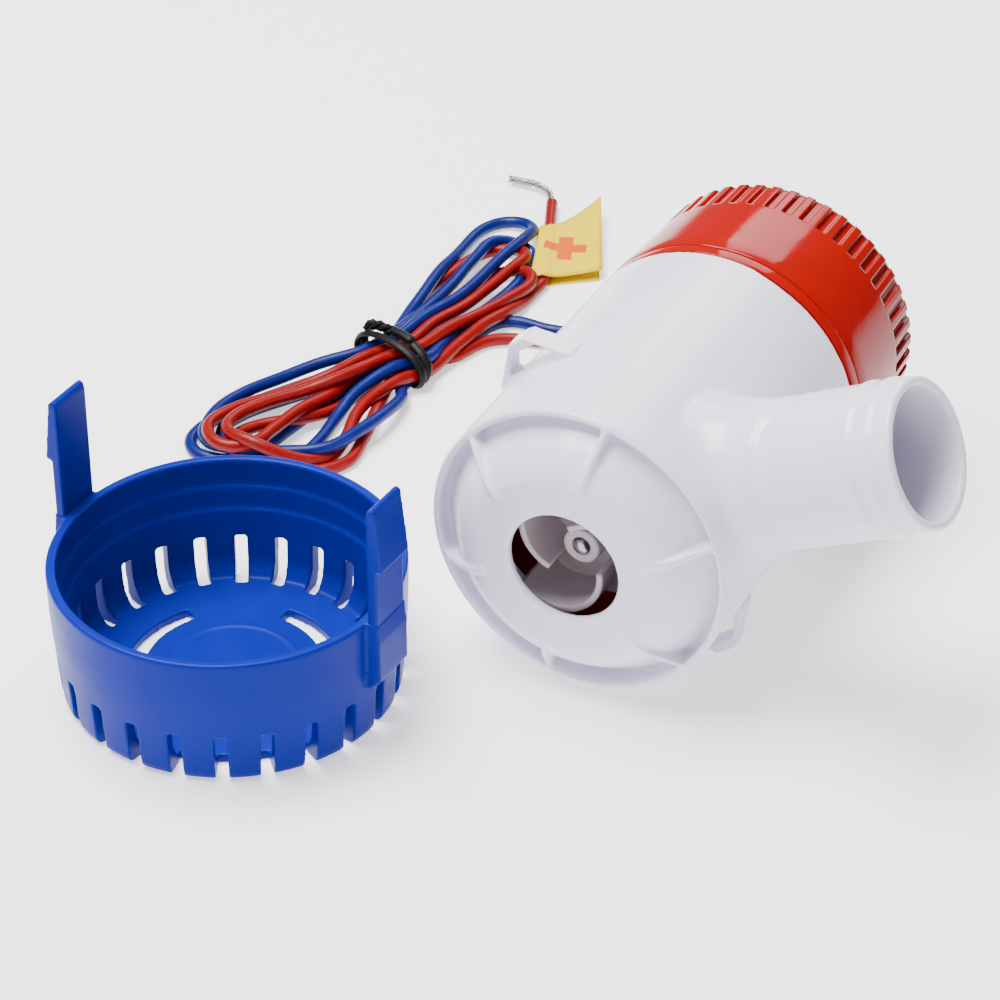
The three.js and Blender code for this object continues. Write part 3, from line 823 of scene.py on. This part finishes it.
def motor_pod():
    """A cup with a narrower nose, a groove for its seal ring and the flange the cap stands on."""
    groove_r, groove_low, groove_high = POD_R - 1.7, 52.4, 55
    shell = turned("pod_skin", eased([
        (4.5, POD_FLOOR), (POD_NOSE_R, POD_FLOOR, 0.8), (POD_NOSE_R, 38, 1), (POD_R, 42, 1),
        (POD_R, groove_low, 0.2), (groove_r, groove_low), (groove_r, groove_high),
        (POD_R, groove_high, 0.2), (POD_R, FLANGE_Z), (FLANGE_R, FLANGE_Z, 0.35),
        (FLANGE_R, CAP_Z - 0.3, 0.35), (25.2, CAP_Z - 0.3), (25.2, 46), (23.4, 40), (23.4, 14.6),
        (4.5, 14.6),
    ]))
    return piece(shell, PUMP, RED, "red_plastic", "root", "motor_pod")


def o_ring():
    middle_r, middle_z, thick = 27.9, 53.7, 0.8
    turn = np.linspace(0, 2 * pi, 16, endpoint=False)
    section = [(middle_r + thick * cos(a), middle_z + thick * sin(a)) for a in turn]
    return piece(turned("pod_seal", section, 128), PUMP, RUBBER, "black_rubber", "root", "pod_o_ring")


def grip_radius(z):
    """The cap's side, which tapers a little to its top."""
    return FLANGE_R + (CAP_TOP_R - FLANGE_R) * (z - CAP_Z) / (CAP_TOP - CAP_Z)


def cap():
    """The skin is a grid of heights and angles; between the grip bars its radius steps in."""
    chamfer_z = CAP_TOP - GRIP_CHAMFER
    grip_start = [GRIP_Z + rise for rise in (-0.6, -0.25, 0, 0.25, 0.5)]
    outside = [(grip_radius(z), z) for z in (CAP_Z + 0.5, 70, 76, 82, *grip_start, 88, 91, 94)]
    rim = [
        (grip_radius(chamfer_z), chamfer_z, 0.35), (CAP_TOP_R - GRIP_CHAMFER, CAP_TOP, 0.3),
        (22, CAP_TOP),
    ]
    dish = [(21, CAP_TOP - 0.05), (20.2, CAP_TOP - 0.55), (19.4, CAP_TOP - 0.6), (0, CAP_TOP - 0.6)]
    foot = [
        (27.8, CAP_Z + 0.3), (28.2, CAP_Z), (FLANGE_R - 0.45, CAP_Z), (FLANGE_R - 0.12, CAP_Z + 0.15),
    ]
    inside = [(0, CAP_TOP - 2.5), (25.5, CAP_TOP - 2.5), (26.6, CAP_TOP - 3.4), (27, CAP_TOP - 5)]
    profile = eased([*inside, *foot, *outside, *rim, *dish])
    pitch = 2 * pi / GRIP_COUNT
    steps = [
        (-0.5, 0), (-0.38, 0), (-0.29, 0), (-0.265, 0.12), (-0.25, 0.5), (-0.235, 0.88), (-0.21, 1),
        (-0.1, 1),
    ]
    columns = [*steps, (0, 1), *[(-a, s) for a, s in reversed(steps[1:])]]
    points, faces, rings = [], [], []
    count = len(columns) * GRIP_COUNT
    first_outer = len(inside) + 2
    for row, (r, z) in enumerate(profile):
        rings.append(len(points))
        if r < 1e-6:
            points.append((0, 0, z))
            continue
        start = min(1, max(0, (z - GRIP_Z + 0.25) / 0.5))
        for bar in range(GRIP_COUNT):
            for offset, depth in columns:
                limit = grip_radius(z) - GRIP_DEPTH * depth * start
                radius = min(r, limit) if row >= first_outer else r
                a = (bar + 0.5 + offset) * pitch
                points.append((radius * cos(a), radius * sin(a), z))
    for row in range(len(profile) - 1):
        low, high = rings[row], rings[row + 1]
        low_step, high_step = (0 if profile[k][0] < 1e-6 else 1 for k in (row, row + 1))
        for i in range(count):
            j = (i + 1) % count
            corners = [low + low_step * i, low + low_step * j, high + high_step * j, high + high_step * i]
            faces.append(list(dict.fromkeys(corners)))
    body = solid("cap_skin", points, faces)
    cut(body, moved(rod("hole", EXIT_HOLE_R, CAP_TOP - 4, CAP_TOP + 1, 64), EXIT_AT))
    return piece(body, PUMP, RED, "red_plastic", "root", "cap")


def strain_relief():
    """A ribbed rubber boot round both leads."""
    neck, flange, collar, rib_height = EXIT_HOLE_R - 0.3, 5.6, 5.2, 0.45
    profile = [
        (0, CAP_TOP - 4), (flange, CAP_TOP - 4), (flange, CAP_TOP - 2.8), (neck, CAP_TOP - 2.8),
        (neck, CAP_TOP - 0.4), (collar, CAP_TOP - 0.4, 0.3), (collar, CAP_TOP + 0.9, 0.3),
        (4.0, CAP_TOP + 1.2),
    ]
    for number in range(4):
        z = CAP_TOP + 1.9 + 1.7 * number
        r = 3.95 - 0.16 * number
        low = r - rib_height
        profile += [(low, z - 0.45), (low, z - 0.1), (r, z + 0.15), (r, z + 0.75), (low, z + 1)]
    profile += [(3.2, CAP_TOP + 9, 0.4), (0, CAP_TOP + 9)]
    boot = moved(turned("strain_relief_boot", eased(profile), 64), EXIT_AT)
    return piece(boot, PUMP, RUBBER, "black_rubber", "root", "strain_relief")


# ---- Impeller and shaft ----

def impeller():
    """An open disc with a bored hub and three swept vanes."""
    disc_r, disc_z, disc_thick, vane_z, hub_z, hub_r = 15, 9.4, 1.6, -2, 2, 3.7
    sunk_z, top_z = disc_z + 0.4, disc_z + disc_thick
    vane = [(x - 4.6, y + 1.9) for x, y in sector(8.4, 9.7, 16, 169)]
    vanes = [spun(raised("vane", vane, vane_z, sunk_z), 120 * i) for i in range(3)]
    outline = [(0, disc_z), (disc_r, disc_z, 0.4), (disc_r, top_z, 0.4), (0, top_z)]
    disc = turned("impeller_skin", eased(outline), 96)
    hub = turned("hub", eased([(0, hub_z), (hub_r, hub_z, 0.4), (hub_r + 0.3, sunk_z), (0, sunk_z)]), 64)
    join(disc, hub, *vanes)
    cut(disc, rod("bore", 1.85, 1, 13, 48))
    return piece(melt(disc, voxel=0.24, rounds=3), PUMP, NATURAL, "natural_plastic", "rotor", "impeller")


def shaft():
    """Round, with a chamfered end and a flat where the impeller is pressed on."""
    radius, low, high, flat_x, flat_end = 1.6, 1.55, 74.6, 1.1, 8.4
    obj = turned("shaft_skin", [
        (0, low), (radius - 0.18, low), (radius, low + 0.2), (radius, flat_end),
        (radius, flat_end + 0.05), (radius, high - 0.3), (radius - 0.3, high), (0, high),
    ], 64)
    for vertex in obj.data.vertices:
        if vertex.co.z <= flat_end:
            vertex.co.x = min(vertex.co.x, flat_x)
    piece(obj, PUMP, STEEL, "steel", "rotor", "shaft")
    for face in obj.data.polygons:
        face.use_smooth = abs(face.normal.z) < 0.5 and face.normal.x < 0.99
    return obj


# ---- Strainer ----

CUP_R, CUP_FOOT_R, CUP_INNER_R, CUP_H, CUP_FLOOR = 34.1, 32.7, 32.1, 27.9, 2.0
SLOT_COUNT, SLOT_W, SLOT_TOP = 24, 2.5, 10.6
ARM_ANGLES = {"right": -30, "left": 150}
ARM_W, ARM_INNER, ARM_OUTER, ARM_TOP = 9.6, 34.0, 36.0, 53.5
BARB_Z, BARB_OUT, PAD_FOOT = 40.0, 1.3, 14.0


def pad(angle):
    """The thickening under an arm, with a slanting foot."""
    inner, outer = 31.9, ARM_OUTER + 0.5
    outline = [
        (inner, PAD_FOOT - 1), (34.4, PAD_FOOT - 1), (outer, PAD_FOOT + 1.2), (outer, 24),
        (outer - 0.45, CUP_H), (inner, CUP_H),
    ]
    return spun(upright("pad", outline, 5), angle)


def basket():
    """A tapering cup with a stepped inside, a faint ring on its floor, slots, vents and arm pads."""
    cup = turned("basket_skin", [
        *eased([
            (0, 0), (CUP_FOOT_R, 0, 2.2), (CUP_R - 0.15, 18, 3), (CUP_R, CUP_H, 0.6),
            (CUP_INNER_R, CUP_H, 0.6), (CUP_INNER_R - 0.1, 22.1), (CUP_INNER_R - 0.55, 21.7),
            (CUP_INNER_R - 0.75, 17.1), (CUP_INNER_R - 1.2, 16.7), (CUP_FOOT_R - 2.4, 5, 1.4),
            (CUP_FOOT_R - 4.2, CUP_FLOOR, 0.8),
        ]),
        (13.2, CUP_FLOOR), (13, CUP_FLOOR + 0.2), (12.4, CUP_FLOOR + 0.2), (12.2, CUP_FLOOR),
        (0, CUP_FLOOR),
    ], 240)
    inner, outer, half = CUP_FOOT_R - 5.6, CUP_R + 1, SLOT_W / 2
    slot = [(inner, -half), (outer, -half), (outer, half), (inner, half)]
    angles = [360 * (i + 0.5) / SLOT_COUNT + 7.5 for i in range(SLOT_COUNT)]
    slots = [spun(raised("slot", slot, -1, SLOT_TOP), angle) for angle in angles]
    vents = [raised("vent", sector(17.2, 20.4, a - 31, a + 31), -1, 4) for a in (150, 30, -90)]
    pads = join(pad(ARM_ANGLES["right"]), pad(ARM_ANGLES["left"]))
    cut(pads, rod("inside", CUP_INNER_R - 0.4, 10, CUP_H + 1, 240))
    join(cup, pads)
    cut(cup, *slots, *vents)
    melt(cup, voxel=0.32, rounds=1)
    return piece(cup, STRAINER, BLUE, "blue_plastic", "strainer", "strainer_basket")


def snap_arm(side):
    """A springy blade whose root is one with the basket; here it is one rigid shape that does not bend."""
    outline = [
        (ARM_INNER, CUP_H - 1.5), (ARM_OUTER, CUP_H - 1.5), (ARM_OUTER, BARB_Z),
        (ARM_OUTER + BARB_OUT, BARB_Z + 0.2), (ARM_OUTER - 0.2, ARM_TOP - 0.6),
        (ARM_OUTER - 0.9, ARM_TOP), (ARM_INNER + 0.3, ARM_TOP - 0.4), (ARM_INNER, ARM_TOP - 1.4),
    ]
    arm = spun(upright(f"arm_skin_{side}", outline, ARM_W / 2), ARM_ANGLES[side])
    piece(melt(arm, voxel=0.28, rounds=2), STRAINER, BLUE, "blue_plastic", None, f"strainer_arm_{side}")
    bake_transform(arm)
    return arm


# ---- Tie, tag and bare strands ----

def unit(vectors):
    return vectors / np.linalg.norm(vectors, axis=-1)[..., None]


def side_and_top(line, ups):
    """Directions square to a line all along it, its tops facing about as ups say."""
    forward = unit(np.gradient(line, axis=0))
    side = unit(np.cross(forward, ups))
    return side, np.cross(side, forward)


def swept(name, line, ups, section):
    """A section of (side, up) points carried along a line."""
    line = np.array(line)
    side, up = side_and_top(line, ups)
    count = len(section)
    points = [p + a * s + b * u for p, s, u in zip(line, side, up) for a, b in section]
    faces = []
    for i in range(0, count * (len(line) - 1), count):
        for k in range(count):
            after = (k + 1) % count
            faces.append([i + k, i + after, i + count + after, i + count + k])
    last = count * (len(line) - 1)
    return solid(name, points, [*faces, list(range(count))[::-1], list(range(last, last + count))])


def tie_section(width, thick):
    """A soft strip, fuller along its middle where the wire runs."""
    outline = []
    for i in range(16):
        a = 2 * pi * i / 16
        x = copysign(abs(cos(a)) ** 0.8, cos(a)) * width / 2
        outline.append((x, sin(a) * thick * (0.55 + 0.45 * (1 - abs(cos(a))) ** 2)))
    return outline


def twist_tie():
    """Two turns round the bundle that cross on top, then two short twisted tails."""
    turns, steps, first = 2.1, 160, radians(75)
    grow, lifted, floor_z = WIRE_D / 2 + 0.7, 0.75, 0.6
    line, ups = [], []
    for i in range(steps + 1):
        t = i / steps
        a = first + 2 * pi * turns * t
        lift = lifted * t
        across = (BUNDLE_A + grow + lift) * copysign(abs(cos(a)) ** 0.9, cos(a))
        up = max(BUNDLE_Z + (BUNDLE_B + grow + lift) * sin(a), floor_z + 0.1 * t)
        run = 1.7 * cos(0.5 * (a - first)) + 0.5 * sin(a + 0.6)
        x, y = WAIST + ALONG * run + ACROSS * across
        line.append((x, y, up))
        out = ACROSS * cos(a) / BUNDLE_A
        ups.append((*out, sin(a) / BUNDLE_B))
    band = swept("tie_band", line, ups, tie_section(2.2, 0.75))
    start, apart = Vector(line[0]), 0.62
    tails = []
    for sign in (1, -1):
        path, tops = [], []
        for i in range(25):
            t = i / 24
            turn = 0.5 * pi * (1 + sign) + 3.2 * pi * t
            middle = start + Vector((-5.4 * t, 3.4 * t - 0.8, 0.5 + 2.2 * t - 2.8 * t * t))
            path.append(middle + Vector((0, apart * cos(turn), apart * sin(turn))))
            tops.append((0.2, cos(turn), sin(turn)))
        tails.append(swept("tail", path, tops, tie_section(1.7, 0.7)))
    join(band, *tails)
    return piece(band, FLOOR, BLACK, "black_plastic", "root", "twist_tie")


def polarity_tag():
    """A strip folded round the red wire: each row runs in along a leaf, round the wire and out again."""
    wire_at, lean = Vector((9.4, 121.0, 1.6)), radians(5.4)
    hug, thick = WIRE_D / 2 + 0.18, 0.13
    reach, width, leaf_from, stations = 14.4, 22, 1.2, 15
    rows = []
    for k in range(stations):
        v = k / (stations - 1)
        far = reach * (1 - 0.16 * v)
        slope = 4.6 + 6.9 * v
        profile = []
        for i in range(13):
            t = i / 12
            x = far * (1 - t) + leaf_from * t
            sprung = (1 - t) ** 2 * (0.5 + 2.4 * v * v)
            profile.append((x, 0.55 + sprung + (hug - 0.25) * t ** 6, (slope - 0.6 * v) * (1 - t)))
        for a in range(70, 291, 20):
            profile.append((hug * cos(radians(a)), hug * sin(radians(a)), 0))
        for i in range(13):
            t = i / 12
            x = leaf_from * (1 - t) + (far - 0.5) * t
            near = (1 - t) ** 6
            profile.append((x, -(hug - 0.1) * near - 1.15 * (1 - near), (slope - 0.8) * t))
        rows.append([(x, width * (v - 0.5) + shift, z) for x, z, shift in profile])
    grid = np.array(rows)
    normal = unit(np.cross(np.gradient(grid, axis=1), np.gradient(grid, axis=0)))
    shells = [grid + thick * normal, grid - thick * normal]
    count = grid.shape[1]
    points = [tuple(p) for shell in shells for row in shell for p in row]
    size = stations * count
    faces = []
    for i in range(stations - 1):
        for j in range(count - 1):
            a = i * count + j
            quad = [a, a + 1, a + count + 1, a + count]
            faces += [quad, [size + q for q in reversed(quad)]]
    border = [*range(count), *[i * count + count - 1 for i in range(1, stations)]]
    border += [(stations - 1) * count + j for j in range(count - 2, -1, -1)]
    border += [i * count for i in range(stations - 2, 0, -1)]
    for a, b in zip(border, border[1:] + border[:1]):
        faces.append([b, a, size + a, size + b])
    tag = solid("tag_sheet", points, faces)
    tag.data.transform(Matrix.Scale(MM, 4))
    tag.data.shade_smooth()
    tag.data.materials.append(LABEL)
    tag.matrix_world = Matrix.Translation(wire_at * MM) @ Matrix.Rotation(-lean, 4, "Z")
    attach(tag, "root")
    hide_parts("polarity_tag")
    return tag


def strands(name, route, count, spread, thickness):
    """Loosely twisted bare conductor, its strands cut to slightly different lengths."""
    middle = evenly(spline(route), 0.35)
    round_turn = [2 * pi * k / 8 for k in range(8)]
    section = [(thickness * cos(a), thickness * sin(a)) for a in round_turn]
    side, top = side_and_top(middle, (0, 0, 1))
    t = np.linspace(0, 1, len(middle))
    parts = []
    for k in range(count):
        last = len(middle) - (k * 7) % 5
        turn = 2 * pi * (k / count + 2.6 * t + 0.05 * np.sin(9 * t + k))
        loosen = spread * (0.75 + 0.55 * np.abs(np.sin(7 * t + 1.9 * k)) * t)
        line = middle + (loosen * np.cos(turn))[:, None] * side + (loosen * np.sin(turn))[:, None] * top
        line[:, 2] = np.maximum(line[:, 2], thickness + 0.03)
        parts.append(swept(f"{name}_{k}", line[:last], top[:last], section))
    bundle = parts[0]
    bm = bmesh.new()
    for part in parts:
        bm.from_mesh(part.data)
    bm.to_mesh(bundle.data)
    bm.free()
    bundle.name = name
    for part in parts[1:]:
        bpy.data.objects.remove(part)
    return bundle


RED_STRANDS = [
    [11.6, 144.2, 1.5], [11.9, 146.2, 1.5], [11.7, 149.2, 1.6], [9, 152.4, 1.8], [5.5, 154.5, 1.6],
    [2.2, 156.1, 1.4],
]
BLUE_STRANDS = [[6.2, 115, 1.6], [6.6, 117.5, 1.8], [6.9, 120.4, 2.2], [7.2, 123.6, 2]]

housing()
motor_pod()
o_ring()
cap()
boot = strain_relief()
impeller()
shaft()
basket()
snap_arm("right")
snap_arm("left")
tie = twist_tie()
tag = polarity_tag()
red_strands = strands("red_strands", RED_STRANDS, count=9, spread=0.6, thickness=0.24)
piece(red_strands, FLOOR, TINNED, "tinned_strands", "root", "bare_strands")
blue_strands = strands("tucked_strands", BLUE_STRANDS, count=7, spread=0.42, thickness=0.2)
piece(blue_strands, FLOOR, TINNED, "tinned_strands", "root")

# ---- Leads on the frame ----

for obj, material, slot in ((red_wire, RED_SHEATH, "red_wire"), (blue_wire, BLUE_SHEATH, "blue_wire")):
    obj.data.materials.append(material)
    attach(obj, "root")
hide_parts("red_lead", "red_wire_end", "wire_hank")
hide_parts("blue_lead")

# ---- CAD nodes that stay ----

KEPT = [
    (STEEL, "motor_can", "seal_washer"), (CORE_STEEL, "rotor_core"), (BLACK, "end_bell"),
    (RUBBER, "shaft_seal"), (BRONZE, "bush_lower", "bush_upper"), (FERRITE, "magnet_left", "magnet_right"),
    (CARBON, "brush_a", "brush_b"), (COPPER, "brush_leaf_a", "brush_leaf_b", "terminal_red"),
    (COPPER, "terminal_blue", "winding_lower", "winding_upper", "commutator"), (NATURAL, "thrust_washer"),
    (RED_SHEATH, "inner_lead_red"), (BLUE_SHEATH, "inner_lead_blue"),
]
for material, *nodes in KEPT:
    for node in nodes:
        for material_slot in frame["nodes"][node].material_slots:
            material_slot.material = material


# ---- Floor and light ----

def floor():
    bpy.ops.mesh.primitive_plane_add(size=8, location=(0, 0.5, 0))
    obj = bpy.context.object
    obj.name = "floor"
    f = Finish("pale_floor", Roughness=0.8, Emission_Strength=0.8, Emission_Color=(1, 1, 1, 1))
    f.use("Base Color", f.mix(f.noise(300, 2), (0.9, 0.9, 0.9), (0.92, 0.92, 0.92)))
    obj.data.materials.append(f.material)


def softbox(name, at, towards, width, height, watts):
    """A rectangular lamp at a place, turned towards another."""
    data = bpy.data.lights.new(name, "AREA")
    data.shape = "RECTANGLE"
    data.size, data.size_y = width, height
    data.energy = watts
    obj = new_object(name, data)
    obj.location = at
    obj.rotation_euler = (Vector(towards) - Vector(at)).to_track_quat("-Z", "Y").to_euler()


def studio():
    world = bpy.data.worlds.new("studio")
    world.use_nodes = True
    background = world.node_tree.nodes["Background"]
    background.inputs["Color"].default_value = (1, 1, 1, 1)
    background.inputs["Strength"].default_value = 0.22
    bpy.context.scene.world = world
    middle = (0, 0, 0.03)
    softbox("overhead", (-0.25, 0.1, 0.9), middle, 0.7, 0.5, 27)
    softbox("front", (-0.35, -0.9, 0.5), middle, 0.5, 0.4, 2.5)
    softbox("back", (0.3, 0.9, 0.7), middle, 0.5, 0.4, 4)


floor()
studio()
